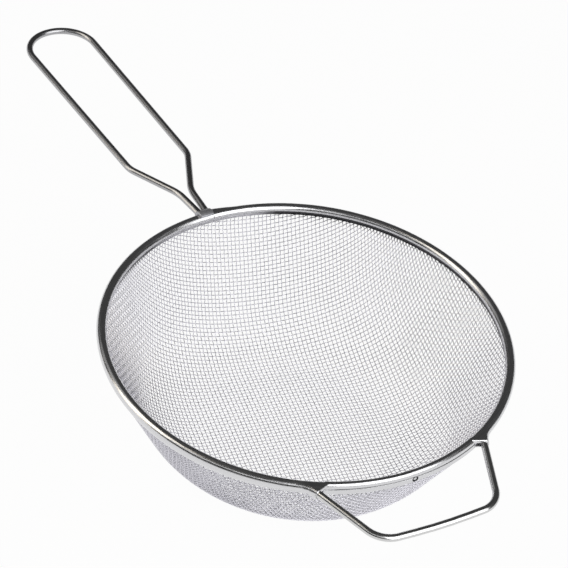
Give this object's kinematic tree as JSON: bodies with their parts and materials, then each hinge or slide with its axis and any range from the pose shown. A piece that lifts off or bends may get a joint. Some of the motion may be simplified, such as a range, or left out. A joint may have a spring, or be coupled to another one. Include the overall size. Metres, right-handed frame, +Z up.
{
  "type": "strainer",
  "caption": "Round kitchen strainer with a deep woven steel bowl, a rolled rim band, a long looped rod handle and a trapezoid helper handle opposite it.",
  "frame": {"origin": "underside of the lowest wire crossing in the middle of the bowl's flat bottom", "axes": "+Z up along the bowl's axis, +Y from the bowl towards the end of the long handle"},
  "size_m": [0.1998, 0.4033, 0.0659],
  "materials": {
    "sheet_steel": "polished stainless sheet",
    "rod_steel": "polished stainless rod",
    "cloth_steel": "bright drawn stainless wire",
    "weld_steel": "matte grey weld"
  },
  "bodies": {
    "root": {"rim_band": "sheet_steel", "rim_wire": "rod_steel", "long_handle": "rod_steel", "handle_weld": "weld_steel", "warp_wire_01": "cloth_steel", "warp_wire_02": "cloth_steel", "warp_wire_03": "cloth_steel", "warp_wire_04": "cloth_steel", "warp_wire_05": "cloth_steel", "warp_wire_06": "cloth_steel", "warp_wire_07": "cloth_steel", "warp_wire_08": "cloth_steel", "warp_wire_09": "cloth_steel", "warp_wire_10": "cloth_steel", "warp_wire_11": "cloth_steel", "warp_wire_12": "cloth_steel", "warp_wire_13": "cloth_steel", "warp_wire_14": "cloth_steel", "warp_wire_15": "cloth_steel", "warp_wire_16": "cloth_steel", "warp_wire_17": "cloth_steel", "warp_wire_18": "cloth_steel", "warp_wire_19": "cloth_steel", "weft_wire_01": "cloth_steel", "weft_wire_02": "cloth_steel", "weft_wire_03": "cloth_steel", "weft_wire_04": "cloth_steel", "weft_wire_05": "cloth_steel", "weft_wire_06": "cloth_steel", "weft_wire_07": "cloth_steel", "weft_wire_08": "cloth_steel", "weft_wire_09": "cloth_steel", "weft_wire_10": "cloth_steel", "weft_wire_11": "cloth_steel", "weft_wire_12": "cloth_steel", "weft_wire_13": "cloth_steel", "weft_wire_14": "cloth_steel", "weft_wire_15": "cloth_steel", "weft_wire_16": "cloth_steel", "weft_wire_17": "cloth_steel", "weft_wire_18": "cloth_steel", "weft_wire_19": "cloth_steel"}
  },
  "joints": []
}
